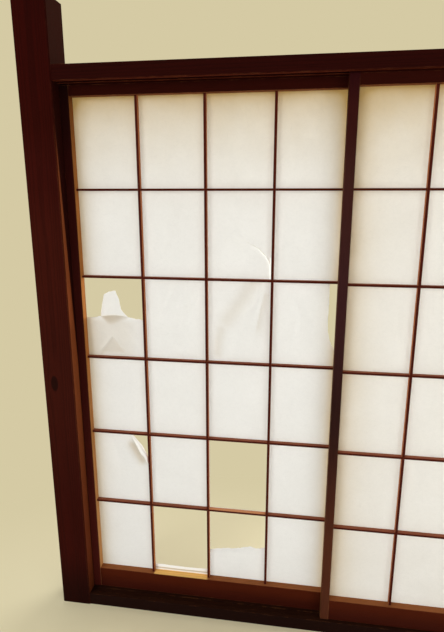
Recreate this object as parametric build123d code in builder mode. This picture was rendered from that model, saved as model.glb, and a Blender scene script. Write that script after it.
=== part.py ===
from build123d import *
import os

# A two-panel sliding paper screen in its frame of posts, head and sill, in millimetres.
# X runs along the opening, Y from the room (front) to the outside (rear), Z up.
# The origin is on the ground, midway between the posts and midway through their depth.

os.makedirs("parts", exist_ok=True)

# The opening and its frame
clear_width = 1713.0
clear_height = 1757.0
post_width = 105.0
post_depth = 105.0
post_height = 2030.0
post_chamfer = 3.0
head_height = 43.0
sill_height = 45.0
track_depth = 99.0
track_setback = 3.0
track_chamfer = 1.5
housing_depth = 12.0

# The grooves that the panels slide in
groove_width = 21.0
ridge_width = 12.0
front_lip = 15.0
head_groove_depth = 15.0
sill_groove_depth = 3.0

# The panels
panel_lap = 35.0
stile_width = 28.0
stile_depth = 30.0
rail_setback = 1.5
top_rail_height = 44.0
bottom_rail_height = 80.0
tongue_thickness = 20.0
tongue_rise = 9.0
lift_room = 5.0
foot_gap = 1.0
panel_chamfer = 1.0
rail_tenon_length = 20.0
rail_tenon_thickness = 10.0
rail_tenon_shoulder = 6.0

# The lattice
columns = 4
rows = 6
upright_bar_face = 8.0
cross_bar_face = 7.0
bar_depth = 15.0
bar_tenon_length = 9.0
bar_tenon_thickness = 7.0
lowest_row_extra = 10.0

# The paper, glued into a rabbet round the back of the lattice
paper_thickness = 0.4
paper_margin = 7.0
rabbet_width = 9.0
rabbet_depth = 3.0

# Clearances: between sliding faces, and in glued joints
running_gap = 0.3
joint_fit = 0.1

# Damage to the rear panel's paper, each tear measured from an edge of its own cell
tear_drop = 131.0
flap_left = 48.0
flap_base_width = 97.0
flap_top_inset = 16.0
flap_top_width = 42.0
flap_height = 74.0
flap_slope = 16.0
flap_hollow = 9.0
torn_corner_width = 76.0
torn_corner_height = 115.0
torn_corner_bulge = 13.0
slit_width = 2.5
slit_reach = 82.0
slit_top_drop = 149.0
slit_bend_inset = 33.0
slit_bend_drop = 184.0
slit_end_inset = 2.0
slit_end_drop = 250.0
loose_edge_width = 27.0
loose_edge_height = 150.0
loose_edge_tail = 65.0
remnant_height = 25.0
remnant_sag = 2.0
ragged_drop = 167.0
ragged_slope = 0.25
ragged_shoulder_inset = 91.0
ragged_shoulder_drop = 147.0
ragged_peak_inset = 52.0
ragged_peak_drop = 137.0
ragged_dip_inset = 30.0
ragged_dip_drop = 143.0
ragged_end_drop = 136.0

# Frame sizes that follow
sill_top = sill_height
head_underside = sill_top + clear_height
track_front = -post_depth / 2 + track_setback
track_centre = track_front + track_depth / 2
track_length = clear_width + 2 * housing_depth
front_groove_centre = track_front + front_lip + groove_width / 2
rear_groove_centre = front_groove_centre + groove_width + ridge_width
groove_centres = (front_groove_centre, rear_groove_centre)

# Panel sizes that follow
panel_width = (clear_width - 2 * running_gap + panel_lap) / 2
panel_foot = sill_top - sill_groove_depth + running_gap
panel_top = head_underside + tongue_rise
lower_shoulder = sill_top + foot_gap
upper_shoulder = head_underside - lift_room
bottom_rail_top = panel_foot + bottom_rail_height
top_rail_low = panel_top - top_rail_height
tongue_inset = (stile_depth - tongue_thickness) / 2
rear_panel_left = -clear_width / 2 + running_gap
front_panel_left = clear_width / 2 - running_gap - panel_width
rear_panel_face = rear_groove_centre - stile_depth / 2
front_panel_face = front_groove_centre - stile_depth / 2

# Lattice sizes that follow
lattice_width = panel_width - 2 * stile_width
lattice_height = top_rail_low - bottom_rail_top
cell_width = (lattice_width - (columns - 1) * upright_bar_face) / columns
cell_height = (lattice_height - (rows - 1) * cross_bar_face - lowest_row_extra) / rows
lowest_cell_height = cell_height + lowest_row_extra
column_pitch = cell_width + upright_bar_face
row_pitch = cell_height + cross_bar_face
lattice_rear = stile_depth - rabbet_depth
lattice_middle = lattice_rear - bar_depth / 2
upright_offsets = [stile_width + i * column_pitch - upright_bar_face / 2 for i in range(1, columns)]
cross_heights = [top_rail_low - j * row_pitch + cross_bar_face / 2 for j in range(1, rows)]


def upright_is_in_front(column, row):
    """The bars are woven: which one passes in front changes from each crossing to the next."""
    return (column + row) % 2 == 0


# Frame

def save_post(label, side):
    """A square post, housed on its inner face for the head and the sill. side is -1 left, 1 right."""
    inner_face = side * clear_width / 2
    with BuildPart() as post:
        with BuildSketch():
            with Locations((inner_face + side * post_width / 2, 0)):
                Rectangle(post_width, post_depth)
        extrude(amount=post_height)
        chamfer(post.edges().filter_by(Axis.Z), length=post_chamfer)
        with BuildSketch(Plane.YZ.offset(inner_face)):
            with Locations((track_centre, head_underside + head_height / 2)):
                Rectangle(track_depth + 2 * joint_fit, head_height + 2 * joint_fit)
            with Locations((track_centre, sill_height / 2)):
                Rectangle(track_depth + 2 * joint_fit, sill_height + 2 * joint_fit)
        extrude(amount=side * (housing_depth + joint_fit), mode=Mode.SUBTRACT)
    post.part.label = label
    export_step(post.part, f"parts/{label}.step")


save_post("left_post", -1)
save_post("right_post", 1)

with BuildPart() as head_track:
    with BuildSketch(Plane.YZ.offset(-track_length / 2)):
        with Locations((track_centre, head_underside)):
            Rectangle(track_depth, head_height, align=(Align.CENTER, Align.MIN))
        with Locations(*[(y, head_underside) for y in groove_centres]):
            Rectangle(groove_width, head_groove_depth, align=(Align.CENTER, Align.MIN), mode=Mode.SUBTRACT)
    extrude(amount=track_length)
    lower_edges = head_track.edges().filter_by(Axis.X).group_by(Axis.Z)[0].sort_by(Axis.Y)
    chamfer((lower_edges[0], lower_edges[-1]), length=track_chamfer)
head_track.part.label = "head_track"
export_step(head_track.part, "parts/head_track.step")

with BuildPart() as sill_track:
    with BuildSketch(Plane.YZ.offset(-track_length / 2)):
        with Locations((track_centre, 0)):
            Rectangle(track_depth, sill_height, align=(Align.CENTER, Align.MIN))
        with Locations(*[(y, sill_top) for y in groove_centres]):
            Rectangle(groove_width, sill_groove_depth, align=(Align.CENTER, Align.MAX), mode=Mode.SUBTRACT)
    extrude(amount=track_length)
    upper_edges = sill_track.edges().filter_by(Axis.X).group_by(Axis.Z)[-1].sort_by(Axis.Y)
    chamfer((upper_edges[0], upper_edges[-1]), length=track_chamfer)
sill_track.part.label = "sill_track"
export_step(sill_track.part, "parts/sill_track.step")


# Panel frames
# Each piece takes the place of its panel: left is the panel's left edge, face its front face.

def mortise(width, height):
    """The mouth of a mortise, at the place that the surrounding sketch gives."""
    Rectangle(width + 2 * joint_fit, height + 2 * joint_fit)


def tenon_span(shoulder, inner_edge):
    """Middle and height of a rail's tenon, which keeps a shoulder above and below."""
    low = min(shoulder, inner_edge) + rail_tenon_shoulder
    high = max(shoulder, inner_edge) - rail_tenon_shoulder
    return (low + high) / 2, high - low


def save_stile(label, outer_edge, inward, face):
    """An upright frame member. inward is 1 where the lattice lies to its right, -1 to its left."""
    inner_edge = outer_edge + inward * stile_width
    with BuildPart() as stile:
        with BuildSketch(Plane.YZ.offset(outer_edge)):
            with Locations((face + stile_depth / 2, lower_shoulder)):
                Rectangle(stile_depth, upper_shoulder - lower_shoulder, align=(Align.CENTER, Align.MIN))
            with Locations((face + stile_depth / 2, panel_foot)):
                Rectangle(tongue_thickness, panel_top - panel_foot, align=(Align.CENTER, Align.MIN))
        extrude(amount=inward * stile_width)
        front_edges = stile.edges().filter_by(Axis.Z).group_by(Axis.Y)[0]
        chamfer(front_edges, length=panel_chamfer)
        with BuildSketch(Plane.YZ.offset(inner_edge)):
            with Locations((face + stile_depth, bottom_rail_top - rabbet_width)):
                Rectangle(
                    rabbet_depth,
                    lattice_height + 2 * rabbet_width,
                    align=(Align.MAX, Align.MIN),
                )
        extrude(amount=-inward * rabbet_width, mode=Mode.SUBTRACT)
        with BuildSketch(Plane.YZ.offset(inner_edge)):
            for shoulder, rail_edge in ((lower_shoulder, bottom_rail_top), (upper_shoulder, top_rail_low)):
                middle, height = tenon_span(shoulder, rail_edge)
                with Locations((face + stile_depth / 2, middle)):
                    mortise(rail_tenon_thickness, height)
        extrude(amount=-inward * (rail_tenon_length + joint_fit), mode=Mode.SUBTRACT)
        with BuildSketch(Plane.YZ.offset(inner_edge)):
            with Locations(*[(face + lattice_middle, z) for z in cross_heights]):
                mortise(bar_tenon_thickness, cross_bar_face)
        extrude(amount=-inward * (bar_tenon_length + joint_fit), mode=Mode.SUBTRACT)
    stile.part.label = label
    export_step(stile.part, f"parts/{label}.step")


def save_rail(label, left, face, inner_edge, shoulder, tongue_end):
    """A cross member of a panel, from its edge at the lattice to the end of its tongue."""
    outward = 1 if tongue_end > inner_edge else -1
    rail_left = left + stile_width
    front = face + rail_setback
    rear = face + stile_depth
    with BuildPart() as rail:
        with BuildSketch(Plane.YZ.offset(rail_left)):
            with BuildLine():
                Polyline(
                    (front, inner_edge),
                    (rear - rabbet_depth, inner_edge),
                    (rear - rabbet_depth, inner_edge + outward * rabbet_width),
                    (rear, inner_edge + outward * rabbet_width),
                    (rear, shoulder),
                    (rear - tongue_inset, shoulder),
                    (rear - tongue_inset, tongue_end),
                    (face + tongue_inset, tongue_end),
                    (face + tongue_inset, shoulder),
                    (front, shoulder),
                    close=True,
                )
            make_face()
        extrude(amount=lattice_width)
        front_edges = rail.edges().filter_by(Axis.X).group_by(Axis.Y)[0].sort_by(Axis.Z)
        chamfer(front_edges[0] if outward > 0 else front_edges[-1], length=panel_chamfer)
        middle, height = tenon_span(shoulder, inner_edge)
        with BuildSketch(Plane.YZ.offset(rail_left - rail_tenon_length)):
            with Locations((face + stile_depth / 2, middle)):
                Rectangle(rail_tenon_thickness, height)
        extrude(amount=lattice_width + 2 * rail_tenon_length)
        with BuildSketch(Plane.XY.offset(inner_edge)):
            with Locations(*[(left + x, face + lattice_middle) for x in upright_offsets]):
                mortise(upright_bar_face, bar_tenon_thickness)
        extrude(amount=outward * (bar_tenon_length + joint_fit), mode=Mode.SUBTRACT)
    rail.part.label = label
    export_step(rail.part, f"parts/{label}.step")


# Lattice

def save_upright_bar(label, x, face, column):
    """A thin upright bar, notched where it crosses the others, with a stub tenon at each end."""
    with BuildPart() as bar:
        with BuildSketch(Plane.YZ.offset(x - upright_bar_face / 2)):
            with Locations((face + lattice_middle, (top_rail_low + bottom_rail_top) / 2)):
                Rectangle(bar_depth, lattice_height)
                Rectangle(bar_tenon_thickness, lattice_height + 2 * bar_tenon_length)
            for row, z in enumerate(cross_heights, start=1):
                side = 1 if upright_is_in_front(column, row) else -1
                with Locations((face + lattice_middle + side * bar_depth / 2, z)):
                    Rectangle(bar_depth + joint_fit, cross_bar_face + 2 * joint_fit, mode=Mode.SUBTRACT)
        extrude(amount=upright_bar_face)
    bar.part.label = label
    export_step(bar.part, f"parts/{label}.step")


def save_cross_bar(label, left, face, z, row):
    """A thin cross bar, notched the other way round, with a stub tenon at each end."""
    with BuildPart() as bar:
        with BuildSketch(Plane.XY.offset(z - cross_bar_face / 2)):
            with Locations((left + panel_width / 2, face + lattice_middle)):
                Rectangle(lattice_width, bar_depth)
                Rectangle(lattice_width + 2 * bar_tenon_length, bar_tenon_thickness)
            for column, x in enumerate(upright_offsets, start=1):
                side = -1 if upright_is_in_front(column, row) else 1
                with Locations((left + x, face + lattice_middle + side * bar_depth / 2)):
                    Rectangle(upright_bar_face + 2 * joint_fit, bar_depth + joint_fit, mode=Mode.SUBTRACT)
        extrude(amount=cross_bar_face)
    bar.part.label = label
    export_step(bar.part, f"parts/{label}.step")


# Tears
# Each is the missing shape, with its origin at the top left corner of the cell that it is in.

with BuildSketch() as torn_top:
    Rectangle(cell_width, tear_drop, align=(Align.MIN, Align.MAX))
    with BuildLine():
        flap_tip = Line(
            (flap_left + flap_top_inset, flap_height - tear_drop),
            (flap_left + flap_top_inset + flap_top_width, flap_height + flap_slope - tear_drop),
        )
        flap_side = SagittaArc(flap_tip @ 1, (flap_left + flap_base_width, -tear_drop), flap_hollow)
        Polyline(flap_side @ 1, (flap_left, -tear_drop), flap_tip @ 0)
    make_face(mode=Mode.SUBTRACT)

with BuildSketch() as torn_corner:
    with BuildLine():
        corner_edge = SagittaArc(
            (cell_width - torn_corner_width, 0),
            (cell_width, -torn_corner_height),
            torn_corner_bulge,
        )
        Polyline(corner_edge @ 1, (cell_width, 0), corner_edge @ 0)
    make_face()

with BuildSketch() as slit:
    slit_start = (cell_width - slit_reach, -slit_top_drop)
    slit_end = (cell_width - slit_end_inset, -slit_end_drop)
    with BuildLine():
        ThreePointArc(slit_start, (cell_width - slit_bend_inset, -slit_bend_drop), slit_end)
        ThreePointArc(
            slit_start,
            (cell_width - slit_bend_inset + slit_width, slit_width - slit_bend_drop),
            slit_end,
        )
    make_face()

with BuildSketch() as loose_edge:
    with BuildLine():
        edge_line = Line(
            (cell_width - loose_edge_width, 0),
            (cell_width - loose_edge_width, -loose_edge_height),
        )
        edge_tail = TangentArc(
            edge_line @ 1,
            (cell_width, -loose_edge_height - loose_edge_tail),
            tangent=edge_line % 1,
        )
        Polyline(edge_tail @ 1, (cell_width, 0), edge_line @ 0)
    make_face()

with BuildSketch() as missing_cell:
    Rectangle(cell_width, cell_height, align=(Align.MIN, Align.MAX))

with BuildSketch() as missing_to_remnant:
    with BuildLine():
        remnant_edge = SagittaArc(
            (0, remnant_height - lowest_cell_height),
            (cell_width, remnant_height - lowest_cell_height),
            -remnant_sag,
        )
        Polyline(remnant_edge @ 1, (cell_width, 0), (0, 0), remnant_edge @ 0)
    make_face()

with BuildSketch() as missing_to_ragged_edge:
    with BuildLine():
        ragged_edge = Spline(
            (0, -ragged_drop),
            (cell_width - ragged_shoulder_inset, -ragged_shoulder_drop),
            (cell_width - ragged_peak_inset, -ragged_peak_drop),
            (cell_width - ragged_dip_inset, -ragged_dip_drop),
            (cell_width, -ragged_end_drop),
            tangents=((1, ragged_slope), (1, 0)),
        )
        Polyline(ragged_edge @ 1, (cell_width, 0), (0, 0), ragged_edge @ 0)
    make_face()

# The tears of each row, with the column of the cell that each is in
rear_tears = {
    2: [(3, slit)],
    3: [(1, torn_top), (4, loose_edge)],
    5: [(1, torn_corner), (3, missing_cell)],
    6: [(2, missing_to_remnant), (3, missing_to_ragged_edge)],
}


# Paper

def save_paper(label, left, face, row, tears):
    """The strip of paper behind one row of cells. Strips meet behind the middle of the cross bars."""
    top = top_rail_low + paper_margin if row == 1 else cross_heights[row - 2]
    bottom = bottom_rail_top - paper_margin if row == rows else cross_heights[row - 1]
    cell_top = top_rail_low - (row - 1) * row_pitch
    with BuildPart() as paper:
        with BuildSketch(Plane.XZ.offset(-face - lattice_rear)):
            with Locations((left + panel_width / 2, bottom)):
                Rectangle(lattice_width + 2 * paper_margin, top - bottom, align=(Align.CENTER, Align.MIN))
            for column, tear in tears:
                cell_left = left + stile_width + (column - 1) * column_pitch
                with Locations((cell_left, cell_top)):
                    add(tear.sketch, mode=Mode.SUBTRACT)
        extrude(amount=-paper_thickness)
    paper.part.label = label
    export_step(paper.part, f"parts/{label}.step")


# The two panels

def save_panel(name, left, face, tears):
    """Every piece of one panel, with the panel shut against its own post."""
    save_stile(f"{name}_left_stile", left, 1, face)
    save_stile(f"{name}_right_stile", left + panel_width, -1, face)
    save_rail(f"{name}_top_rail", left, face, top_rail_low, upper_shoulder, panel_top)
    save_rail(f"{name}_bottom_rail", left, face, bottom_rail_top, lower_shoulder, panel_foot)
    for column, x in enumerate(upright_offsets, start=1):
        save_upright_bar(f"{name}_upright_bar_{column}", left + x, face, column)
    for row, z in enumerate(cross_heights, start=1):
        save_cross_bar(f"{name}_cross_bar_{row}", left, face, z, row)
    for row in range(1, rows + 1):
        save_paper(f"{name}_paper_{row}", left, face, row, tears.get(row, ()))


save_panel("rear", rear_panel_left, rear_panel_face, rear_tears)
save_panel("front", front_panel_left, front_panel_face, {})
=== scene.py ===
import math

import bmesh
import bpy
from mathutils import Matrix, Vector, geometry, noise


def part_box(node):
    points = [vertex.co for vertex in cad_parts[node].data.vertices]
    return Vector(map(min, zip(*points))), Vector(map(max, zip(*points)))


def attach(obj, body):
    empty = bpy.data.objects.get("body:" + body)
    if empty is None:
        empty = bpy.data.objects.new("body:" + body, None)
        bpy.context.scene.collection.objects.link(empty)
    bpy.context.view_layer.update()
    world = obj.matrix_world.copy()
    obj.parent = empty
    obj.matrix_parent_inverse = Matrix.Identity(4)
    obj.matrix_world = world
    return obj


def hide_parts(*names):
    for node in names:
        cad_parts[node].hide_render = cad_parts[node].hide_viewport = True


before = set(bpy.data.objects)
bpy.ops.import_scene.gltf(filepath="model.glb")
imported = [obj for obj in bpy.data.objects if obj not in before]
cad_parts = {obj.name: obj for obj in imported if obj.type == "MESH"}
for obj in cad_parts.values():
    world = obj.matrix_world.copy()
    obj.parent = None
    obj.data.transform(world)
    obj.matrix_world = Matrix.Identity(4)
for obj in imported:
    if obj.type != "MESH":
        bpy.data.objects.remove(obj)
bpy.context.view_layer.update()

MM = 0.001
PANELS = {"rear": "rear_panel", "front": "front_panel"}
COLUMNS = 4
ROWS = 6


def colour(red, green, blue):
    """A colour as it is seen on a screen, each part from 0 to 255, in the renderer's own numbers."""
    def linear(value):
        value /= 255
        return value / 12.92 if value <= 0.04045 else ((value + 0.055) / 1.055) ** 2.4

    return (linear(red), linear(green), linear(blue), 1.0)


def smooth(low, high, value):
    """0 at low and 1 at high, smooth between them and level beyond them. low may be the larger one."""
    t = min(max((value - low) / (high - low), 0.0), 1.0)
    return t * t * (3 - 2 * t)


# Camera, at the photograph's place
camera_data = bpy.data.cameras.new("camera")
camera_data.lens = 28.72
camera_data.sensor_width = 36.0
camera_data.clip_start = 0.05
camera_data.clip_end = 200.0
camera = bpy.data.objects.new("camera", camera_data)
camera.location = (-0.1374, -1.5297, 1.4892)
camera.rotation_euler = (math.radians(90 - 13.787), math.radians(0.034), math.radians(8.56))
bpy.context.scene.collection.objects.link(camera)
bpy.context.scene.camera = camera
bpy.context.scene.view_settings.view_transform = "Standard"

# How much longer than wide the threads in the paper are
THREAD_STRETCH = 22.0


class Nodes:
    """The nodes of one material or world, with short ways to add them."""

    def __init__(self, owner, output):
        owner.use_nodes = True
        self.owner = owner
        self.tree = owner.node_tree
        self.tree.nodes.clear()
        self.output = self.add(output)

    def add(self, kind, inputs=None, **settings):
        node = self.tree.nodes.new("ShaderNode" + kind)
        for name, value in settings.items():
            setattr(node, name, value)
        for name, value in (inputs or {}).items():
            self.put(node.inputs[name], value)
        return node

    def put(self, socket, value):
        if isinstance(value, bpy.types.NodeSocket):
            self.tree.links.new(value, socket)
        else:
            socket.default_value = value

    def math(self, operation, a, b=0.0, clamp=False):
        return self.add("Math", {0: a, 1: b}, operation=operation, use_clamp=clamp).outputs[0]

    def total(self, *values):
        made = values[0]
        for value in values[1:]:
            made = self.math("ADD", made, value)
        return made

    def product(self, *values):
        made = values[0]
        for value in values[1:]:
            made = self.math("MULTIPLY", made, value)
        return made

    def less(self, value, taken):
        return self.math("SUBTRACT", value, taken)

    def hypot(self, a, b):
        return self.math("SQRT", self.total(self.product(a, a), self.product(b, b)))

    def swing(self, noise_value, amount):
        """Noise, which lies round a half, as an amount to both sides of nothing."""
        return self.product(self.less(noise_value, 0.5), amount)

    def dying(self, distance, reach, amount):
        """The amount at no distance, which dies away over the reach."""
        return self.product(self.math("EXPONENT", self.product(distance, -1 / reach)), amount)

    def span(self, value, low, high, to_low=0.0, to_high=1.0, shape="SMOOTHSTEP"):
        """to_low where the value is low, to_high where it is high, and a steady change between them."""
        inputs = {
            "Value": value,
            "From Min": low,
            "From Max": high,
            "To Min": to_low,
            "To Max": to_high,
        }
        return self.add("MapRange", inputs, interpolation_type=shape).outputs[0]

    def mix(self, factor, a, b):
        return self.add("Mix", {0: factor, 6: a, 7: b}, data_type="RGBA").outputs[2]

    def scaled(self, vector, factor):
        inputs = {0: vector, "Scale": factor}
        return self.add("VectorMath", inputs, operation="SCALE").outputs[0]

    def place(self):
        """Object coordinates in metres, as a vector and as its three parts."""
        vector = self.add("TexCoord").outputs["Object"]
        parts = self.add("SeparateXYZ", {0: vector})
        return vector, parts.outputs[0], parts.outputs[1], parts.outputs[2]

    def facing(self):
        """How far the surface looks along Y: -1 to the room, 1 to the outside."""
        parts = self.add("SeparateXYZ", {0: self.add("TexCoord").outputs["Normal"]})
        return parts.outputs[1]

    def drawn_out(self, vector, axis, share):
        """Coordinates in which a pattern is longer along one axis: it moves by this share only."""
        inputs = {"Vector": vector, "Scale": tuple(share if name == axis else 1.0 for name in "XYZ")}
        return self.add("Mapping", inputs, vector_type="POINT").outputs[0]

    def lane(self, vector, turn):
        """Coordinates turned about Y and then drawn out, for threads that lie that way."""
        inputs = {
            "Vector": vector,
            "Rotation": (0.0, turn, 0.0),
            "Scale": (THREAD_STRETCH, 1.0, 1.0),
        }
        return self.add("Mapping", inputs, vector_type="TEXTURE").outputs[0]

    def noise(self, vector, scale, detail=3.0, roughness=0.55, distortion=0.0):
        inputs = {
            "Vector": vector,
            "Scale": scale,
            "Detail": detail,
            "Roughness": roughness,
            "Distortion": distortion,
        }
        return self.add("TexNoise", inputs).outputs["Fac"]

    def mark(self, name):
        """A mark that each point of the mesh carries."""
        return self.add("Attribute", attribute_name=name).outputs["Fac"]

    def bump(self, height, distance):
        return self.add("Bump", {"Height": height, "Distance": distance}).outputs[0]

    def seen(self):
        """1 for what the camera sees directly, in a shine or straight through, and 0 for light."""
        path = self.add("LightPath").outputs
        through = self.product(path["Is Transmission Ray"], self.less(1.0, path["Is Diffuse Ray"]))
        either = self.total(path["Is Camera Ray"], path["Is Glossy Ray"], through)
        return self.math("MINIMUM", either, 1.0)

    def blend(self, factor, first, second):
        """The first shader where the factor is 0, the second where it is 1."""
        return self.add("MixShader", {0: factor, 1: first.outputs[0], 2: second.outputs[0]})

    def show(self, shader):
        self.put(self.output.inputs["Surface"], shader.outputs[0])
        return self.owner


def material_nodes(name):
    return Nodes(bpy.data.materials.new(name), "OutputMaterial")


def cell_edges(panel):
    """A panel's free cells, in metres: left and right of each column, top and bottom of each row."""
    lows = [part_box(f"{panel}_left_stile")[1].x]
    highs = []
    for column in range(1, COLUMNS):
        low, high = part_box(f"{panel}_upright_bar_{column}")
        highs.append(low.x)
        lows.append(high.x)
    highs.append(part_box(f"{panel}_right_stile")[0].x)
    tops = [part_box(f"{panel}_top_rail")[0].z]
    bottoms = []
    for row in range(1, ROWS):
        low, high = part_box(f"{panel}_cross_bar_{row}")
        bottoms.append(high.z)
        tops.append(low.z)
    bottoms.append(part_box(f"{panel}_bottom_rail")[1].z)
    return list(zip(lows, highs)), list(zip(tops, bottoms))


CELLS = {panel: cell_edges(panel) for panel in PANELS}
REAR_COLUMNS, REAR_ROWS = CELLS["rear"]

# Wood, stained on the room side and weathered outside
OUTSIDE = colour(134, 92, 62)
KNOT = colour(26, 8, 5)
RUBBED = colour(176, 112, 66)
WOOD_SHINE = 0.035
WOOD_RELIEF = 0.22 * MM
EDGE_ROUND = 1.6 * MM
GRAIN_SHARE = 0.055
FIBRE_SHARE = 0.018
# How softly a painted patch of light and the reveal's painted shade end
PAINTED_LIGHT_SOFT_X = 4 * MM
PAINTED_LIGHT_SOFT_Z = 2 * MM
SHADE_SOFT = 3 * MM


def wood(name, along, tones, pith, ring_width, wear=0.5, fibre_size=1.0, mirrored=0.0, knot=None,
         painted_light=None, outer_sides=(), shade=None):
    """Stained wood with rings, fibres, blotches and worn edges, and painted light and shade on its sides.

    along is the grain's axis.
    tones are (height, colour of the room side, colour of the edges), lowest first; the edges' colour is
    painted light.
    pith is the middle of the rings across the grain, and wear is how much the edges are rubbed.
    mirrored is the posts' distance from the middle of the opening: the right one mirrors the left one.
    knot is (x, z, half width, half height), measured from a post's middle, on the left post only.
    painted_light is a place (x from, x to, z from, z to, colour): a painted patch of light on its edges.
    outer_sides are sides that look away from the paper, by distance from the opening's middle: no painted
    light there.
    shade is (top, fall, start, depth, colour): the reveal is that dark colour, but for a strip from
    y = start that grows from nothing at the height top to the full depth, fall lower.
    """
    m = material_nodes(name)
    vector, x, y, z = m.place()
    height, front, edge = tones[0]
    for next_height, next_front, next_edge in tones[1:]:
        rise = m.span(z, height, next_height)
        front = m.mix(rise, front, next_front)
        edge = m.mix(rise, edge, next_edge)
        height = next_height
    # A painted patch of light on the edges, where light falls through missing paper
    if painted_light:
        x_from, x_to, z_from, z_to, light_colour = painted_light
        within = m.product(
            m.span(x, x_from - PAINTED_LIGHT_SOFT_X, x_from + PAINTED_LIGHT_SOFT_X),
            m.span(x, x_to + PAINTED_LIGHT_SOFT_X, x_to - PAINTED_LIGHT_SOFT_X),
            m.span(z, z_from - PAINTED_LIGHT_SOFT_Z, z_from),
            m.span(z, z_to + PAINTED_LIGHT_SOFT_Z, z_to),
        )
        edge = m.mix(within, edge, light_colour)
    # Sides that look away from the paper get no painted light
    for distance in outer_sides:
        away = m.math("ABSOLUTE", m.less(m.math("ABSOLUTE", x), distance))
        edge = m.mix(m.span(away, 2 * MM, 1.5 * MM, 0.0, 0.85), edge, front)
    if shade:
        shade_top, fall, start, deep, dark = shade
        lit = m.span(z, shade_top, shade_top - fall, start, start + deep, "LINEAR")
        edge = m.mix(m.span(m.less(y, lit), -SHADE_SOFT, SHADE_SOFT), edge, dark)

    # Long waves in the grain, and the way that it bends round the knot
    grain = m.drawn_out(vector, along, GRAIN_SHARE)
    waves = m.noise(grain, scale=9.0, detail=2.0)
    drift = m.noise(grain, scale=28.0, detail=2.0)
    on_left_post = m.math("LESS_THAN", x, 0.0)
    if mirrored:
        x = m.less(m.math("ABSOLUTE", x), mirrored)
    across = x if along == "Z" else z
    if knot:
        knot_x, knot_z, half_width, half_height = knot
        side = m.math("DIVIDE", m.less(x, knot_x), half_width)
        rise = m.math("DIVIDE", m.less(z, knot_z), half_height)
        reach = m.hypot(side, rise)
        bend = m.product(m.math("EXPONENT", m.product(reach, reach, -0.16)), on_left_post)
        across = m.less(across, m.product(m.math("SIGN", side), bend, half_width * 0.8))
        in_knot = m.product(m.span(reach, 1.05, 0.8), on_left_post)
    across = m.total(m.less(across, pith[0]), m.swing(waves, 30 * MM))
    depth = m.total(m.less(y, pith[1]), m.swing(drift, 8 * MM))
    ring = m.math("FRACT", m.math("DIVIDE", m.hypot(across, depth), ring_width))
    late = m.product(m.span(ring, 0.35, 0.9), m.span(ring, 1.0, 0.93))

    # Fibres and pores, much longer than wide
    lengthwise = m.drawn_out(vector, along, FIBRE_SHARE)
    fibre = m.noise(lengthwise, scale=1300.0 / fibre_size, detail=3.0, roughness=0.6)
    pores = m.span(m.noise(lengthwise, scale=620.0 / fibre_size, detail=2.0), 0.62, 0.72)
    blotch = m.noise(grain, scale=22.0, detail=4.0, roughness=0.6)
    cloud = m.noise(vector, scale=3.2)

    # Stain: deeper on the room side, weathered on the outer side, and the edges' colour, painted light, on
    # the faces between
    towards_y = m.facing()
    stain = m.mix(m.span(towards_y, -0.35, -0.8), edge, front)
    stain = m.mix(m.span(towards_y, 0.35, 0.8), stain, OUTSIDE)
    light = m.total(0.62, m.product(blotch, 0.42), m.product(cloud, 0.34), m.swing(fibre, 0.5))
    light = m.product(light, m.less(1.0, m.product(late, 0.2)))
    light = m.product(light, m.less(1.0, m.product(pores, 0.3)))
    stain = m.scaled(stain, light)
    if knot:
        stain = m.mix(m.product(in_knot, 0.85), stain, KNOT)

    # Rubbed edges, found from how a rounded edge would turn
    rounded = m.add("Bevel", {"Radius": EDGE_ROUND}, samples=6).outputs[0]
    straight = m.add("NewGeometry").outputs["True Normal"]
    turned = m.add("VectorMath", {0: rounded, 1: straight}, operation="DOT_PRODUCT").outputs["Value"]
    patchy = m.span(m.noise(vector, scale=34.0, detail=4.0, roughness=0.65), 0.42, 0.66)
    rub = m.product(m.span(turned, 0.985, 0.86), patchy, wear)
    worn = m.scaled(m.mix(0.6, edge, RUBBED), m.total(0.7, m.product(fibre, 0.5)))
    stain = m.mix(rub, stain, worn)

    rough = m.total(0.59, m.product(fibre, 0.16), m.product(late, -0.06), m.product(rub, 0.12))
    relief = m.total(m.product(late, 0.5), m.product(fibre, 0.45), m.product(pores, -0.5))
    return m.show(m.add("BsdfPrincipled", {
        "Base Color": stain,
        "Roughness": rough,
        "Specular IOR Level": WOOD_SHINE,
        "Normal": m.bump(relief, WOOD_RELIEF),
    }))


STILE_EDGE = REAR_COLUMNS[0][0]
RAIL_TOP = REAR_ROWS[-1][1]
SILL_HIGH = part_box("sill_track")[1].z
HEAD_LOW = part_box("head_track")[0].z
HEAD_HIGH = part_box("head_track")[1].z
POST_MIDDLE = 0.909
# The post's edge colour is painted light on its reveal
POST_EDGE = colour(130, 67, 34)
STILE_SIDES = (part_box("front_right_stile")[1].x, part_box("rear_right_stile")[1].x)
FIRST_BAR_SIDE = REAR_COLUMNS[1][0]
MISSING_FOOT = REAR_ROWS[4][1]
BAR_FRONT = colour(72, 25, 15)

# In every wood below, the edges' colours are painted light, which falls to painted shade near the head
post_wood = wood(
    "post_wood", "Z",
    ((0.03, colour(31, 6, 3), colour(84, 38, 18)),
     (0.24, colour(48, 9, 4), colour(104, 48, 23)),
     (0.9, colour(54, 16, 8), POST_EDGE),
     (1.3, colour(57, 16, 8), POST_EDGE),
     (1.56, colour(52, 11, 6), POST_EDGE),
     (1.7, colour(46, 7, 3), colour(84, 32, 16)),
     (HEAD_HIGH, colour(45, 6, 3), colour(48, 7, 5))),
    pith=(0.006, 0.01), ring_width=4.2 * MM,
    mirrored=POST_MIDDLE,
    knot=(0.0152, 0.8704, 0.013, 0.029),
    outer_sides=(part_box("right_post")[1].x,),
    shade=(1.73, 0.8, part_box("left_post")[0].y, 0.044, colour(40, 10, 6)),
)
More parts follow.
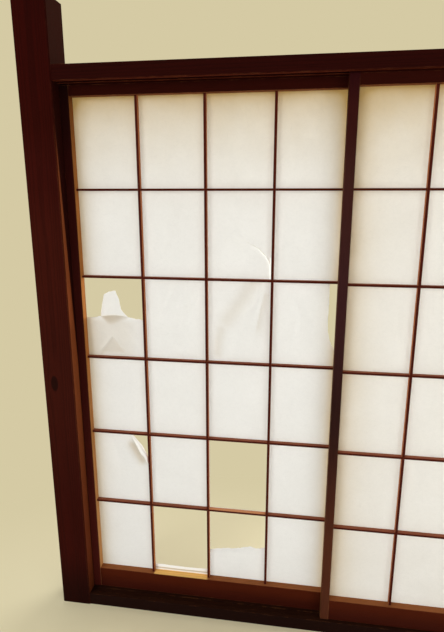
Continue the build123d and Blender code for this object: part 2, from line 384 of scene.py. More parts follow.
# The head's edge colour is a painted highlight along its lower arris
head_wood = wood(
    "head_wood", "X", ((0.0, colour(39, 7, 4), colour(92, 36, 18)),),
    pith=(1.86, 0.06), ring_width=2.6 * MM, wear=0.8,
)
sill_wood = wood(
    "sill_wood", "X", ((0.0, colour(28, 11, 7), colour(43, 21, 12)),),
    pith=(0.12, 0.07), ring_width=2.8 * MM, wear=0.6,
)
rear_upright_wood = wood(
    "rear_upright_wood", "Z",
    ((0.3, colour(73, 24, 17), colour(192, 136, 81)),
     (1.1, colour(56, 16, 11), colour(164, 104, 50)),
     (1.5, colour(52, 14, 9), colour(164, 104, 50)),
     (1.72, colour(34, 7, 5), colour(134, 80, 36)),
     (HEAD_LOW, colour(30, 6, 4), colour(104, 60, 28))),
    pith=(0.11, 0.05), ring_width=1.7 * MM,
    # Painted light on the stile's side beside the torn cell of row 3
    painted_light=(STILE_EDGE - 0.01, STILE_EDGE + 0.01, *REAR_ROWS[2][::-1], colour(173, 110, 55)),
    outer_sides=STILE_SIDES,
)
front_upright_wood = wood(
    "front_upright_wood", "Z",
    ((0.3, colour(80, 41, 25), colour(192, 136, 81)),
     (0.8, colour(47, 24, 20), colour(172, 114, 59)),
     (1.15, colour(56, 28, 28), colour(164, 104, 50)),
     (1.5, colour(59, 29, 24), colour(164, 104, 50)),
     (1.7, colour(52, 17, 14), colour(138, 84, 38)),
     (HEAD_LOW, colour(41, 8, 10), colour(104, 60, 28))),
    pith=(0.11, 0.05), ring_width=1.7 * MM,
    outer_sides=STILE_SIDES,
)
panel_cross_wood = wood(
    "panel_cross_wood", "X",
    ((SILL_HIGH + 0.01, colour(58, 19, 10), colour(132, 79, 48)),
     (RAIL_TOP - 0.006, colour(74, 26, 9), colour(146, 88, 50)),
     (1.6, colour(43, 9, 4), colour(126, 74, 44))),
    pith=(0.3, 0.05), ring_width=1.9 * MM,
    # Painted light on the bottom rail's top under the missing paper of row 6
    painted_light=(*REAR_COLUMNS[1], RAIL_TOP - MM, RAIL_TOP + MM, colour(255, 202, 116)),
)
bar_upright_wood = wood(
    "bar_upright_wood", "Z", ((0.0, BAR_FRONT, colour(173, 104, 63)),),
    pith=(0.05, 0.05), ring_width=1.1 * MM, wear=0.35, fibre_size=0.7,
    # Painted light on the first bar's side beside the missing paper of row 6
    painted_light=(FIRST_BAR_SIDE - 0.004, FIRST_BAR_SIDE + 0.004, *REAR_ROWS[5][::-1], colour(169, 107, 59)),
)
bar_cross_wood = wood(
    "bar_cross_wood", "X", ((0.0, BAR_FRONT, colour(147, 85, 61)),),
    pith=(0.05, 0.05), ring_width=1.1 * MM, wear=0.35, fibre_size=0.7,
    # Painted light on the cross bar's top under the missing cell of row 5
    painted_light=(*REAR_COLUMNS[2], MISSING_FOOT - MM, MISSING_FOOT + MM, colour(203, 137, 93)),
)


def dress(node, material):
    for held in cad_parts[node].material_slots:
        held.material = material


dress("left_post", post_wood)
dress("right_post", post_wood)
dress("head_track", head_wood)
dress("sill_track", sill_wood)
for panel, upright_wood in (("rear", rear_upright_wood), ("front", front_upright_wood)):
    for side in ("left", "right"):
        dress(f"{panel}_{side}_stile", upright_wood)
    for end in ("top", "bottom"):
        dress(f"{panel}_{end}_rail", panel_cross_wood)
    for column in range(1, COLUMNS):
        dress(f"{panel}_upright_bar_{column}", bar_upright_wood)
    for row in range(1, ROWS):
        dress(f"{panel}_cross_bar_{row}", bar_cross_wood)

# Paper: its own colours, and those of the light that comes through it. The yellowed colours are both age
# and painted shade.
PAPER_WHITE = colour(240, 239, 236)
PAPER_AGE_AND_SHADE = colour(210, 190, 141)
PAPER_FRESH_AND_LIT = colour(255, 252, 243)
PAPER_PAINTED_SHADE = colour(196, 180, 148)
THROUGH_WHITE = colour(243, 242, 238)
THROUGH_AGE_AND_SHADE = colour(208, 183, 125)
THROUGH_PAINTED_SHADE = colour(196, 176, 140)
THROUGH_THIN = colour(255, 254, 250)
PAPER_RELIEF = 0.18 * MM
# The turn and the fineness of each layer of threads in the paper
THREADS = ((0.2, 900.0), (0.85, 1150.0), (1.5, 1000.0), (2.1, 1250.0), (2.75, 950.0))


def paper(panel, warmth, left_reach):
    """Old handmade paper: cloudy, fibrous, yellowed with age, painted shade along the frame, and lit
    through from behind.

    warmth is how much the whole sheet has yellowed with age.
    left_reach is how far the painted shade reaches in from the left stile, in metres.
    """
    m = material_nodes(f"{panel}_paper")
    vector, x, _, z = m.place()
    columns, rows = CELLS[panel]

    wander = m.noise(vector, scale=40.0, detail=2.0)
    threads = 0.0
    for turn, fineness in THREADS:
        lane = m.lane(vector, turn)
        thread = m.noise(lane, scale=fineness, detail=1.0, roughness=0.4, distortion=0.6)
        threads = m.math("MAXIMUM", threads, m.span(thread, 0.66, 0.76))
    clouds = m.noise(vector, scale=120.0, detail=4.0, roughness=0.6)
    patches = m.noise(vector, scale=9.0)
    density = m.total(m.product(clouds, 0.5), m.product(threads, 0.35), m.product(patches, 0.3))

    # Painted shade of the frame along the top rail and both stiles, in the same colours as the sheet's
    # even age
    from_top = m.less(rows[0][0], z)
    aged_and_shaded = m.total(
        m.dying(from_top, reach=0.11, amount=0.64),
        m.dying(from_top, reach=0.014, amount=0.3),
        m.dying(m.less(x, columns[0][0]), reach=left_reach, amount=0.46),
        m.dying(m.less(columns[-1][1], x), reach=0.017, amount=0.68),
        warmth,
    )
    aged_and_shaded = m.math("MINIMUM", m.product(aged_and_shaded, m.total(0.7, m.product(patches, 0.6))), 1.0)
    # One mark is fresh fibres at torn edges and a painted highlight on the tongue and roll; the other is
    # painted shade
    fresh_and_lit, painted_shade = m.mark("fresh_and_lit"), m.mark("painted_shade")
    white = m.mix(aged_and_shaded, PAPER_WHITE, PAPER_AGE_AND_SHADE)
    white = m.scaled(white, m.total(1.03, m.product(density, -0.07)))
    white = m.mix(painted_shade, m.mix(fresh_and_lit, white, PAPER_FRESH_AND_LIT), PAPER_PAINTED_SHADE)
    through = m.mix(aged_and_shaded, THROUGH_WHITE, THROUGH_AGE_AND_SHADE)
    through = m.scaled(through, m.total(1.06, m.product(density, -0.16)))
    through = m.mix(painted_shade, through, THROUGH_PAINTED_SHADE)
    thin = m.math("MULTIPLY", fresh_and_lit, -1.8, clamp=True)
    through = m.mix(thin, through, THROUGH_THIN)

    relief = m.total(m.product(clouds, 0.6), m.product(threads, 0.5), m.product(wander, 0.5))
    raised = m.bump(relief, PAPER_RELIEF)
    surface = m.add("BsdfPrincipled", {
        "Base Color": white,
        "Roughness": 0.9,
        "Specular IOR Level": 0.15,
        "Normal": raised,
    })
    glow = m.add("BsdfTranslucent", {"Color": through, "Normal": raised})
    share = m.total(0.62, m.product(density, -0.08), m.product(fresh_and_lit, -0.56))
    return m.show(m.blend(share, surface, glow))


PAPER = {"rear": paper("rear", 0.02, 0.022), "front": paper("front", 0.08, 0.042)}
SHEET = 0.3 * MM
GLUE_LINE = 0.05 * MM
# A strip reaches OVERLAP past the middle of a bar, where the upper one steps outwards by LAYER
OVERLAP = 3.5 * MM
LAYER = 0.4 * MM

# How fast the noise along a torn line changes, per millimetre, and how much faster its finer part
WAVER = 0.21
FINER = 4.1


def torn(points, step, amount, seed):
    """A line through these points with a point every step, each moved a little, as torn paper is."""
    made = []
    for (ax, az), (bx, bz) in zip(points, points[1:]):
        pieces = max(1, round(math.hypot(bx - ax, bz - az) / step))
        for i in range(pieces):
            t = i / pieces
            made.append((ax + (bx - ax) * t, az + (bz - az) * t))
    made.append(points[-1])
    out = [made[0]]
    for (ax, az), (x, z), (bx, bz) in zip(made, made[1:], made[2:]):
        length = math.hypot(bx - ax, bz - az) or 1.0
        here = Vector((x * WAVER, z * WAVER, seed * 7.3))
        push = noise.noise(here) * amount + noise.noise(here * FINER) * amount * 0.5
        out.append((x - (bz - az) / length * push, z + (bx - ax) / length * push))
    out.append(made[-1])
    return out


def along_bars(points, seed):
    return torn(points, 3.0, 0.9, seed)


def closed(*lines):
    """One closed line from several that follow each other."""
    out = []
    for line in lines:
        out += [p for p in line if not out or math.dist(p, out[-1]) > 0.2]
    if math.dist(out[0], out[-1]) < 0.2:
        out.pop()
    return out


def curve(points, pieces):
    """A smooth line through these points, with so many pieces from each to the next."""
    def between(a, b, c, d, t):
        """One coordinate on the way from b to c, with a before them and d after them."""
        return 0.5 * (
            2 * b + (c - a) * t + (2 * a - 5 * b + 4 * c - d) * t * t
            + (3 * b - a - 3 * c + d) * t ** 3
        )

    out = []
    for i in range(len(points) - 1):
        four = points[max(i - 1, 0)], points[i], points[i + 1], points[min(i + 2, len(points) - 1)]
        for k in range(pieces):
            out.append(tuple(between(*values, k / pieces) for values in zip(*four)))
    return out + [points[-1]]


def moved_aside(line, start, end):
    """The line moved to its left, by start mm at its first point and end mm at its last."""
    made = []
    last = len(line) - 1
    for i, (x, z) in enumerate(line):
        (ax, az), (bx, bz) = line[max(i - 1, 0)], line[min(i + 1, last)]
        long = math.hypot(bx - ax, bz - az)
        by = start + (end - start) * i / last
        made.append((x - (bz - az) / long * by, z + (bx - ax) / long * by))
    return made


# Every tear is a closed line in millimetres from the top left corner of its cell, x right and z up.
# Beside a bar it stays about a millimetre inside the cell.
CELL_WIDE = (REAR_COLUMNS[0][1] - REAR_COLUMNS[0][0]) / MM
CELL_HIGH = (REAR_ROWS[0][0] - REAR_ROWS[0][1]) / MM
LAST_HIGH = (REAR_ROWS[-1][0] - REAR_ROWS[-1][1]) / MM
RIGHT = CELL_WIDE - 1
TOP_LEFT = (1, -1)
TOP_RIGHT = (RIGHT, -1)

# The torn first cell of row 3: a tongue stands up from what is left, and slumps towards the room
TONGUE_LEFT = 50
TONGUE_RIGHT = 144
TONGUE_WIDE = TONGUE_RIGHT - TONGUE_LEFT
TONGUE_SAG = 9.0
TONGUE_TALL = 80
TONGUE_FLUTE = 1.1
TONGUE_TIP_LIFT = 2.5
tongue_start = (TONGUE_LEFT, -130)
tongue_end = (TONGUE_RIGHT, -130)
tongue_left = [tongue_start, (57, -94), (66, -55)]
tongue_top = [(66, -55), (84, -46), (106, -41)]
tongue_right = [(106, -41), (117, -68), (123, -104), tongue_end]
tongue_rim = curve([tongue_start, (79, -124.5), (106, -123), (129, -125.5), tongue_end], 5)
tongue_foot = curve([
    tongue_start, (62, -146), (75, -160), (91, -161), (110, -153), (126, -143), tongue_end,
], 4)
stub_left = [tongue_start, (25, -134), (1, -136)]
stub_right = [tongue_end, (160, -133), (175, -135.5), (RIGHT, -138)]
torn_top = closed(
    along_bars([TOP_LEFT, TOP_RIGHT, stub_right[-1]], 1),
    torn(stub_right[::-1], 2.0, 1.6, 2),
    torn(tongue_right[::-1], 2.0, 1.2, 3),
    torn(tongue_top[::-1], 2.0, 1.2, 4),
    torn(tongue_left[::-1], 2.0, 1.2, 5),
    torn(stub_left, 2.0, 1.8, 6),
    along_bars([stub_left[-1], TOP_LEFT], 7),
)
pinch_left = [(88, -199), (68, -226), (45, -254)]
pinch_right = [(88, -199), (107, -226), (129, -252)]
pinch_hollow = [(88, -199), (129, -256), (43, -256)]

# The long edge that has come loose beside the right stile, by its distance from the stile
loose_line = [(CELL_WIDE - gap, z) for gap, z in (
    (28, -1), (27, -60), (28.5, -115), (26.5, -150), (21, -178), (11, -202), (1, -214),
)]
loose_edge = closed(
    torn(loose_line, 2.0, 1.0, 12),
    along_bars([loose_line[-1], TOP_RIGHT, loose_line[0]], 13),
)

# The slit, an arc that runs down to the bar
SLIT_OPEN = 0.3
slit_line = curve([
    (117, -150), (137.6, -160.7), (156.2, -170.8), (168.7, -182.2), (181.2, -195.2),
    (191, -210), (196.5, -228), (CELL_WIDE - 1.2, -250),
], 3)
slit_gape = [SLIT_OPEN * math.sin(math.pi * i / (len(slit_line) - 1)) for i in range(len(slit_line))]
slit = closed(slit_line, [(x + by, z + by) for (x, z), by in zip(slit_line, slit_gape)][::-1])
slit_lips = [moved_aside(slit_line, -2.0, -3.0), moved_aside(slit_line, -4.5, -8.0)]

# The torn corner, whose edge rolls towards the room round this line
ROLL_STRIP = ("rear", 5)
ROLL_RADIUS = 10.0
ROLL_END_RADIUS = 1.0
ROLL_TURN = math.radians(262)
ROLL_UNEVEN = 0.14
ROLL_TIGHTENS = 0.18
ROLL_ROWS = 20
corner_line = curve([
    (138, -1.1), (161.9, -26), (177.1, -42.8), (187.9, -64.3), (195, -84), (RIGHT, -118),
], 6)


def rolled_corner():
    """Rows of points (x, z, lift) from the foot of the roll to its torn end."""
    rows = [[] for _ in range(ROLL_ROWS + 1)]
    last = len(corner_line) - 1
    for i, (x, z) in enumerate(corner_line):
        (ax, az), (bx, bz) = corner_line[max(i - 1, 0)], corner_line[min(i + 1, last)]
        long = math.hypot(bx - ax, bz - az)
        inward_x, inward_z = (bz - az) / long, -(bx - ax) / long
        swell = math.sin(math.pi * i / last) ** 0.7
        radius = ROLL_END_RADIUS + (ROLL_RADIUS - ROLL_END_RADIUS) * swell
        turn = ROLL_TURN * (1 + ROLL_UNEVEN * noise.noise(Vector((x * 0.09, z * 0.09, 3.1))))
        for k, row in enumerate(rows):
            angle = turn * k / ROLL_ROWS
            tight = radius * (1 - ROLL_TIGHTENS * angle / ROLL_TURN)
            inward = radius - tight * math.sin(angle)
            lift = radius - tight * math.cos(angle)
            row.append((x + inward_x * inward, z + inward_z * inward, lift))
    return rows


ROLL = rolled_corner()
roll_foot = [(x, z) for x, z, _ in ROLL[0]]
torn_corner = closed(
    roll_foot,
    along_bars([roll_foot[-1], (RIGHT, -116), TOP_RIGHT, roll_foot[0]], 8),
)
missing_cell = closed(
    along_bars([TOP_LEFT, TOP_RIGHT, (RIGHT, 1 - CELL_HIGH), (1, 1 - CELL_HIGH), TOP_LEFT], 14),
)


def over_foot(points):
    """Points of a cell in the last row, from their heights over its foot."""
    return [(x, height - LAST_HIGH) for x, height in points]


def gone_above(line, step, amount, seed):
    """The opening of a cell whose paper is gone down to this line."""
    beside_bars = along_bars([line[0], TOP_LEFT, TOP_RIGHT, line[-1]], seed)
    return closed(beside_bars, torn(line[::-1], step, amount, seed + 1))


remnant_line = over_foot([(1, 25), (60, 23.4), (130, 22.6), (RIGHT, 24)])
fold_line = over_foot([(1, 9.5), (70, 8.6), (130, 8.2), (RIGHT, 8.8)])
fold_sides = [moved_aside(fold_line, by, by) for by in (-5.5, -2.5, 2.5, 6.5)]
ragged_line = [
    (1, -167), (22, -160), (52, -154), (84, -151), (108, -147), (128, -141), (146, -137),
    (158, -140), (168, -143), (182, -141), (RIGHT, -136),
]
TEARS = {
    ("rear", 2): [(3, slit)],
    ("rear", 3): [(1, torn_top), (4, loose_edge)],
    ("rear", 5): [(1, torn_corner), (3, missing_cell)],
    ("rear", 6): [
        (2, gone_above(remnant_line, 2.5, 0.9, 15)),
        (3, gone_above(ragged_line, 2.0, 1.6, 17)),
    ],
}
# Lines along which the paper's mesh gets its own edges
CREASES = {
    ("rear", 2): [(3, line[1:-1]) for line in slit_lips],
    ("rear", 3): [(1, tongue_rim[1:-1]), (1, pinch_left), (1, pinch_right[1:])],
    ("rear", 6): [(2, line) for line in (fold_line, *fold_sides)],
}


def near_line(x, z, line):
    """Distance to a line, how far along it (0 to 1), and the side: 1 if right of the line, else -1."""
    best = (math.inf, 0.0, 1)
    lengths = [math.dist(a, b) for a, b in zip(line, line[1:])]
    whole, passed = sum(lengths), 0.0
    for (ax, az), (bx, bz), length in zip(line, line[1:], lengths):
        t = ((x - ax) * (bx - ax) + (z - az) * (bz - az)) / (length * length)
        t = min(max(t, 0.0), 1.0)
        distance = math.hypot(x - (ax + (bx - ax) * t), z - (az + (bz - az) * t))
        if distance < best[0]:
            right = (bx - ax) * (z - az) - (bz - az) * (x - ax) < 0
            best = (distance, (passed + length * t) / whole, 1 if right else -1)
        passed += length
    return best


# Each fold and mark is a function of a place in the cell: millimetres towards the room, or strength


def ridge(line, height, width):
    """A crease along a line, towards the room if height is positive, and lower at both ends."""
    def lift(x, z):
        distance, along, _ = near_line(x, z, line)
        arch = math.sin(math.pi * min(max(along, 0.02), 0.98)) ** 0.5
        return height * math.exp(-((distance / width) ** 2)) * arch
    return lift


def lip(line, height, width, shape=0.7):
    """Paper lifted towards the room beside a tear, most at the tear's middle."""
    def lift(x, z):
        distance, along, _ = near_line(x, z, line)
        arch = math.sin(math.pi * min(max(along, 0.0), 1.0)) ** shape
        return height * math.exp(-distance / width) * arch
    return lift


def right_only(fold, line):
    """The fold, only to the right of a line."""
    def lift(x, z):
        return fold(x, z) if near_line(x, z, line)[2] == 1 else 0.0
    return lift


def beside(line, width, amount=1.0):
    """The same amount all along a line, which fades to both sides of it."""
    def strength(x, z):
        return amount * math.exp(-((near_line(x, z, line)[0] / width) ** 2))
    return strength


def left_of(line, width, amount):
    """An amount that starts sharply at a line and fades away to its left."""
    def strength(x, z):
        distance, along, side = near_line(x, z, line)
        fading = amount * math.exp(-distance / width)
        return fading * smooth(-1.5, 1.5, -distance * side) * smooth(0, 0.1, along)
    return strength


def patch(corners, amount, soft):
    """The amount inside a triangle whose corners go clockwise. Its edges are as sharp as soft is small."""
    def strength(x, z):
        within = 1.0
        for (ax, az), (bx, bz) in zip(corners, corners[1:] + corners[:1]):
            outward = ((bx - ax) * (z - az) - (bz - az) * (x - ax)) / math.dist((ax, az), (bx, bz))
            within *= smooth(-soft, soft, -outward)
        return amount * within
    return strength


def height_at(line, x):
    """The z of a line that runs from left to right, at this x."""
    for (ax, az), (bx, bz) in zip(line, line[1:]):
        if x <= bx:
            return az + (bz - az) * (x - ax) / (bx - ax)
    return line[-1][1]


def tongue(x, z):
    """The torn tongue sags towards the room like a bell and is tucked in under its rim."""
    if not TONGUE_LEFT < x < TONGUE_RIGHT:
        return 0.0
    bell = math.sin(math.pi * (x - TONGUE_LEFT) / TONGUE_WIDE) ** 0.6
    rim, foot = height_at(tongue_rim, x), height_at(tongue_foot, x)
    if z >= rim:
        t = min((z - rim) / TONGUE_TALL, 1.0)
        flute = TONGUE_FLUTE * math.sin((x - TONGUE_LEFT) * 0.16) * (1 - t)
        return TONGUE_SAG * bell * (1 - 0.7 * t) + TONGUE_TIP_LIFT * t + flute * bell
    if z <= foot:
        return 0.0
    return TONGUE_SAG * bell * ((z - foot) / (rim - foot)) ** 2.2


def under_rim(x, z):
    """Painted shade in the pinch under the tongue's rim."""
    if not TONGUE_LEFT < x < TONGUE_RIGHT:
        return 0.0
    rim, foot = height_at(tongue_rim, x), height_at(tongue_foot, x)
    strength = 0.55 - 0.2 * (x - TONGUE_LEFT) / TONGUE_WIDE
    return strength * smooth(foot - 14, foot + 24, z) * smooth(rim + 1, rim - 1, z)


def on_tongue(x, z):
    """A painted highlight: whiter, less see-through paper all over the tongue."""
    return 0.4 if TONGUE_LEFT < x < TONGUE_RIGHT and z > height_at(tongue_rim, x) else 0.0


def below_tear(x, z):
    """Light painted shade on what is left of the torn cell, less towards its right side."""
    return 0.16 * smooth(-136, -150, z) * smooth(198, 120, x)


THIN = -0.62


def on_slit_lip(x, z):
    """Fibres drawn thin along the slit's lower side, in a strip that widens downwards."""
    distance, along, side = near_line(x, z, slit_line)
    if side == -1 and distance > 0.05:
        return 0.0
    return THIN * math.exp(-((distance / (2.0 + 6.0 * along)) ** 2)) * smooth(0.05, 0.4, along)


# Fresh white fibres at torn edges, and painted highlights on the tongue and beside its bar. Below 0,
# thinner fibres.
FRESH_AND_LIT = {
    ("rear", 2, 3): [on_slit_lip, beside([(RIGHT, -205), (RIGHT, -266)], 5.0, THIN)],
    ("rear", 3, 1): [
        beside(tongue_right, 1.5),
        beside(tongue_left, 1.5),
        beside(tongue_top, 1.5),
        on_tongue,
        beside(tongue_rim, 2.0),
        beside(stub_right, 3.0),
        # A painted highlight beside the bar
        beside([(CELL_WIDE, -150), (CELL_WIDE, -240)], 5),
    ],
    ("rear", 3, 4): [beside(loose_line, 2.0)],
    ("rear", 6, 2): [lambda x, z: 1.0],
    ("rear", 6, 3): [beside(ragged_line, 3.0)],
}
# Painted shade: under the tongue and in its pinch, by its stile, in creases, beside the roll and in the
# remnant's fold
PAINTED_SHADE = {
    ("rear", 3, 1): [
        under_rim,
        below_tear,
        left_of(pinch_left, 26, 0.3),
        patch(pinch_hollow, 0.26, 4.0),
        beside([(4, -140), (10, -262)], 14, 0.35),
    ],
    ("rear", 3, 3): [
        beside([(140, -6), (102, -71), (60, -130)], 24, 0.13),
        beside([(42, -160), (32, -200), (30, -240)], 15, 0.14),
        left_of([(180, -30), (166, -91), (156, -146)], 15, 0.18),
    ],
    ("rear", 5, 1): [beside([(140, -48), (157, -77), (171, -101)], 17, 0.42)],
    ("rear", 6, 2): [beside(fold_line, 2.4)],
}
FOLDS = {
    ("rear", 2, 3): [
        right_only(lip(slit_line, 3.0, 9.0), slit_line),
        ridge([(84, -120), (128, -146), (158, -176)], 1.2, 9),
        ridge([(60, -170), (110, -180), (150, -215)], 1.0, 12),
        ridge([(20, -60), (60, -75), (95, -110)], 0.9, 11),
    ],
    ("rear", 2, 4): [ridge([(170, -30), (186, -130), (180, -240)], -2.0, 16)],
    ("rear", 3, 1): [
        tongue,
        patch(pinch_hollow, -3.6, 5.0),
        ridge(pinch_left, 2.4, 9),
        ridge(pinch_right, 2.3, 9),
        ridge([(124, -145), (150, -180), (186, -226)], 2.0, 12),
        ridge([(20, -140), (40, -190), (34, -240)], 2.0, 11),
        lip(stub_left, 3.0, 10),
        lip(stub_right, 3.5, 10),
    ],
    ("rear", 3, 2): [
        ridge([(110, -8), (80, -70), (40, -130)], 1.6, 10),
        ridge([(176, -20), (150, -110), (120, -170)], -1.6, 12),
    ],
    ("rear", 3, 3): [
        ridge([(172, -10), (150, -60), (128, -106)], 3.4, 13),
        ridge([(184, -12), (170, -91), (160, -146)], 2.2, 10),
        ridge([(149, -6), (102, -71), (60, -130)], -2.2, 20),
        ridge([(26, -150), (32, -195), (40, -246)], 1.8, 13),
        ridge([(60, -150), (66, -200), (58, -246)], -1.4, 15),
    ],
    ("rear", 3, 4): [
        lip(loose_line, 6.0, 14.0, 0.8),
        ridge([(60, -30), (90, -120), (86, -220)], 1.4, 14),
    ],
    ("rear", 5, 1): [
        ridge([(112, -24), (140, -76), (168, -128)], -3.0, 12),
        ridge([(60, -20), (90, -90), (96, -160)], 1.6, 15),
    ],
    ("rear", 6, 2): [
        beside(moved_aside(fold_line, 6.5, 6.5), 4.5, 3.0),
        beside(fold_line, 2.2, -2.6),
        beside(moved_aside(fold_line, -5.0, -5.0), 3.5, 2.2),
    ],
    ("rear", 6, 3): [
        lip(ragged_line, 3.6, 12.0, 0.5),
        ridge([(60, -180), (100, -200), (150, -196)], 1.4, 12),
    ],
}

# Grid of the paper's mesh, finer in a strip that is torn
PLAIN_STEP = 9.0 * MM
TORN_STEP = 3.6 * MM
# No grid point comes nearer to a point of a tear or crease than this share of the step
CLEAR_SHARE = 0.3
# Mesh points that are closer than this, in metres, become one
SAME_POINT = 1e-7
# Edges that turn less than this are shaded smooth, in radians
SMOOTH_TURN = 0.36
# Billows in millimetres, and how far from the cell's edges they and the folds reach full height
SWELL_MEAN = 0.5
SWELL_SPREAD = 1.6
WAVE = 1.3
FINE_WAVE = 0.35
SWELL_MARGIN = 60
WAVE_MARGIN = 26
FOLD_MARGIN = 7


def in_metres(panel, row, column, line):
    """A cell's line, from millimetres in the cell to metres in the scene."""
    left = CELLS[panel][0][column - 1][0]
    top = CELLS[panel][1][row - 1][0]
    return [(left + x * MM, top + z * MM) for x, z in line]


def inside(x, z, line):
    """True if the point lies within the closed line."""
    hit = False
    for (ax, az), (bx, bz) in zip(line, line[1:] + line[:1]):
        if (az > z) != (bz > z) and x < (bx - ax) * (z - az) / (bz - az) + ax:
            hit = not hit
    return hit


def facing_room(flat, triangle):
    """The triangle with its corners in the order that turns its front to the room."""
    a, b, c = triangle
    (ax, az), (bx, bz), (cx, cz) = flat[a], flat[b], flat[c]
    turn = (bx - ax) * (cz - az) - (bz - az) * (cx - ax)
    return (a, b, c) if turn > 0 else (a, c, b)


def filled(rim, holes, creases, step):
    """Points, and triangles that fill the rim apart from the holes, with edges along the creases."""
    points, edges = [], []
    for outline in (rim, *holes):
        first = len(points)
        points += outline
        edges += [(first + i, first + (i + 1) % len(outline)) for i in range(len(outline))]
    for line in creases:
        edges += [(len(points) + i, len(points) + i + 1) for i in range(len(line) - 1)]
        points += line

    # Points on a grid, where no point of a tear or crease is close
    close = {}
    for x, z in points[len(rim):]:
        close.setdefault((int(x / step), int(z / step)), []).append((x, z))

    def clear(x, z):
        cx, cz = int(x / step), int(z / step)
        return all(
            math.hypot(x - px, z - pz) > CLEAR_SHARE * step
            for i in (-1, 0, 1)
            for j in (-1, 0, 1)
            for px, pz in close.get((cx + i, cz + j), ())
        )

    (low_x, low_z), _, (high_x, high_z), _ = rim
    wide, tall = round((high_x - low_x) / step), round((high_z - low_z) / step)
    for j in range(tall + 1):
        for i in range(wide + 1):
            x = low_x + (high_x - low_x) * i / wide
            z = low_z + (high_z - low_z) * j / tall
            if clear(x, z):
                points.append((x, z))
    corners = [Vector(p) for p in points]
    flat, _, triangles, *_ = geometry.delaunay_2d_cdt(corners, edges, [], 0, SAME_POINT)
    kept = []
    for triangle in triangles:
        cx = sum(flat[i][0] for i in triangle) / 3
        cz = sum(flat[i][1] for i in triangle) / 3
        if not any(inside(cx, cz, hole) for hole in holes):
            kept.append(facing_room(flat, triangle))
    return flat, kept


def lift_at(panel, row, x, z):
    """How far the paper stands towards the room at this place, in millimetres."""
    columns, rows = CELLS[panel]
    top, bottom = rows[row - 1]
    seed = row * 3.7 + (11.0 if panel == "front" else 0.0)
    for column, (left, right) in enumerate(columns, start=1):
        if left <= x <= right and bottom <= z <= top:
            u, v = (x - left) / MM, (z - top) / MM
            margin = min(u, (right - left) / MM - u, -v, v + (top - bottom) / MM)
            swell = SWELL_SPREAD * noise.noise(Vector((column * 5.1, row * 3.3, seed))) + SWELL_MEAN
            waves = Vector((u * 0.011, v * 0.009, seed + column))
            uneven = noise.noise(waves) * WAVE + noise.noise(waves * 3.2) * FINE_WAVE
            lift = swell * smooth(0, SWELL_MARGIN, margin) + uneven * smooth(0, WAVE_MARGIN, margin)
            for fold in FOLDS.get((panel, row, column), ()):
                lift += fold(u, v) * smooth(-1, FOLD_MARGIN, margin)
            return lift
    return 0.0


def marks_at(panel, row, x, z):
    """The paper's two marks at this place: fresh fibres and painted highlight, and painted shade."""
    columns, rows = CELLS[panel]
    for column, (left, right) in enumerate(columns, start=1):
        if left <= x <= right:
            u, v = (x - left) / MM, (z - rows[row - 1][0]) / MM
            return [
                max((mark(u, v) for mark in table.get((panel, row, column), ())), key=abs, default=0.0)
                for table in (FRESH_AND_LIT, PAINTED_SHADE)
            ]
    return [0.0, 0.0]


def add_roll(flat, placed, marks, faces):
    """The rolled edge of the torn corner, joined to the sheet at its foot."""
    foot = [
        min(range(len(flat)), key=lambda i: math.dist(flat[i], here))
        for here in in_metres(*ROLL_STRIP, 1, roll_foot)
    ]
    last = foot
    for points in ROLL[1:]:
        line = in_metres(*ROLL_STRIP, 1, [(x, z) for x, z, _ in points])
        following = []
        for start, (x, z), (_, _, lift) in zip(foot, line, points):
            following.append(len(placed))
            placed.append((x, placed[start][1] - lift * MM, z))
            # The whole roll takes the fresh mark, a painted highlight: whiter, less see-through paper
            marks.append([1.0, 0.0])
        for i in range(len(foot) - 1):
            faces.append((last[i], last[i + 1], following[i + 1], following[i]))
        last = following


def sheet_mesh(name, points, faces, marks):
    """A thin closed solid: these faces, whose front looks to the room, and the same again behind them."""
    shell = bmesh.new()
    layers = [shell.verts.layers.float.new(mark) for mark in ("fresh_and_lit", "painted_shade")]
    front = [shell.verts.new(p) for p in points]
    for vert, values in zip(front, marks):
        for layer, value in zip(layers, values):
            vert[layer] = value
    for face in faces:
        shell.faces.new([front[i] for i in face])
    bmesh.ops.delete(shell, geom=[v for v in shell.verts if not v.link_faces], context="VERTS")
    shell.normal_update()
    loops = [e.link_loops[0] for e in shell.edges if len(e.link_faces) == 1]
    rims = [(loop.vert, loop.link_loop_next.vert) for loop in loops]
    twins = {v: shell.verts.new(v.co - v.normal * SHEET) for v in list(shell.verts)}
    for vert, twin in twins.items():
        for layer in layers:
            twin[layer] = vert[layer]
    for face in list(shell.faces):
        shell.faces.new([twins[v] for v in reversed(face.verts)])
    for a, b in rims:
        shell.faces.new([b, a, twins[a], twins[b]])
    for edge in shell.edges:
        edge.smooth = len(edge.link_faces) == 2 and edge.calc_face_angle(0.0) < SMOOTH_TURN
    for face in shell.faces:
        face.smooth = True
    mesh = bpy.data.meshes.new(name)
    shell.to_mesh(mesh)
    shell.free()
    return mesh


def linked(name, data):
    """A new object in the scene that shows this mesh or lamp."""
    made = bpy.data.objects.new(name, data)
    bpy.context.scene.collection.objects.link(made)
    return made


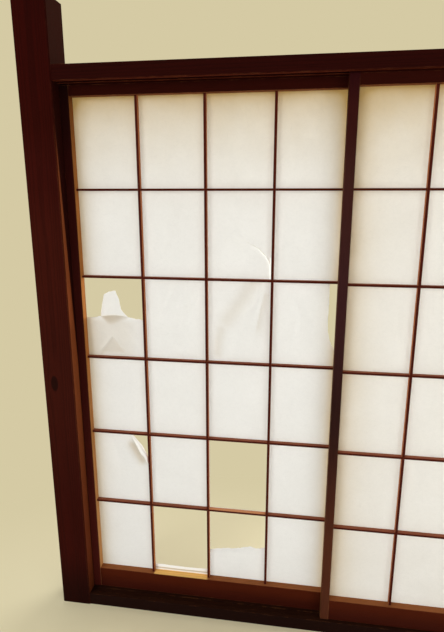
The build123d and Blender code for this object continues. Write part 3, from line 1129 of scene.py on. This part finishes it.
def paper_piece(panel, row):
    """One strip of paper with its billows, creases and tears, in place of the plain CAD strip."""
    node = f"{panel}_paper_{row}"
    low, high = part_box(node)
    upper = high.z + (OVERLAP if row > 1 else 0.0)
    lower = low.z - (OVERLAP if row < ROWS else 0.0)
    rim = [(low.x, lower), (high.x, lower), (high.x, upper), (low.x, upper)]
    holes, creases = (
        [in_metres(panel, row, column, line) for column, line in table.get((panel, row), ())]
        for table in (TEARS, CREASES)
    )
    flat, faces = filled(rim, holes, creases, TORN_STEP if holes else PLAIN_STEP)
    plane = low.y + GLUE_LINE
    bar_top = CELLS[panel][1][row - 1][1]
    placed, marks = [], []
    for x, z in flat:
        outer = LAYER * smooth(bar_top + MM, bar_top - MM, z) if row < ROWS else 0.0
        placed.append((x, plane + outer - lift_at(panel, row, x, z) * MM, z))
        marks.append(marks_at(panel, row, x, z))
    if (panel, row) == ROLL_STRIP:
        add_roll(flat, placed, marks, faces)
    name = f"{panel}_paper_sheet_{row}"
    mesh = sheet_mesh(name, placed, faces, marks)
    mesh.materials.append(PAPER[panel])
    piece = linked(name, mesh)
    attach(piece, PANELS[panel])
    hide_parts(node)


for panel in PANELS:
    for row in range(1, ROWS + 1):
        paper_piece(panel, row)

# Stage
BACKDROP = colour(213, 202, 164)
FLOOR_LIT = colour(238, 238, 236)
FLOOR_SEEN = colour(236, 225, 187)
FLOOR_HALF = 60.0
FADE_START = 0.3
FADE_END = 0.9
WHITE = (1.0, 1.0, 1.0, 1.0)
SKY_STRENGTH = 0.5


def stage_floor():
    """A plain pale floor, which fades into the backdrop a little way from the screen."""
    m = material_nodes("stage_floor")
    _, x, y, _ = m.place()
    seen = m.seen()
    far = m.hypot(m.product(x, 0.5), y)
    ground = m.add("BsdfPrincipled", {
        "Base Color": m.mix(seen, FLOOR_LIT, FLOOR_SEEN),
        "Roughness": 0.85,
        "Specular IOR Level": 0.1,
    })
    sky = m.add("Emission", {"Color": BACKDROP, "Strength": 1.0})
    fade = m.product(m.span(far, FADE_START, FADE_END), seen)
    mesh = bpy.data.meshes.new("floor")
    corners = [(a * FLOOR_HALF, b * FLOOR_HALF, 0) for a, b in ((-1, -1), (1, -1), (1, 1), (-1, 1))]
    mesh.from_pydata(corners, [], [(0, 1, 2, 3)])
    mesh.materials.append(m.show(m.blend(fade, ground, sky)))
    linked("floor", mesh)


def stage_sky():
    """A white sky that lights the scene, and has the backdrop's colour where it is seen."""
    m = Nodes(bpy.data.worlds.new("sky"), "OutputWorld")
    lit = m.add("Background", {"Color": WHITE, "Strength": SKY_STRENGTH})
    shown = m.add("Background", {"Color": BACKDROP})
    bpy.context.scene.world = m.show(m.blend(m.seen(), lit, shown))


def lamp(name, place, target, size, power):
    data = bpy.data.lights.new(name, "AREA")
    data.shape = "RECTANGLE"
    data.size, data.size_y = size
    data.energy = power
    made = linked(name, data)
    made.location = place
    made.rotation_euler = (Vector(target) - Vector(place)).to_track_quat("-Z", "Y").to_euler()
    made.visible_camera = False
    made.visible_glossy = False


stage_floor()
stage_sky()
lamp("key", place=(-4.0, -4.4, 2.8), target=(0.0, 0.0, 1.0), size=(2.4, 2.4), power=130.0)
lamp("fill", place=(4.0, -4.4, 1.6), target=(0.2, 0.0, 0.9), size=(3.2, 3.2), power=95.0)
lamp("behind", place=(2.4, 4.2, 2.2), target=(0.0, 0.0, 0.9), size=(3.4, 3.0), power=225.0)
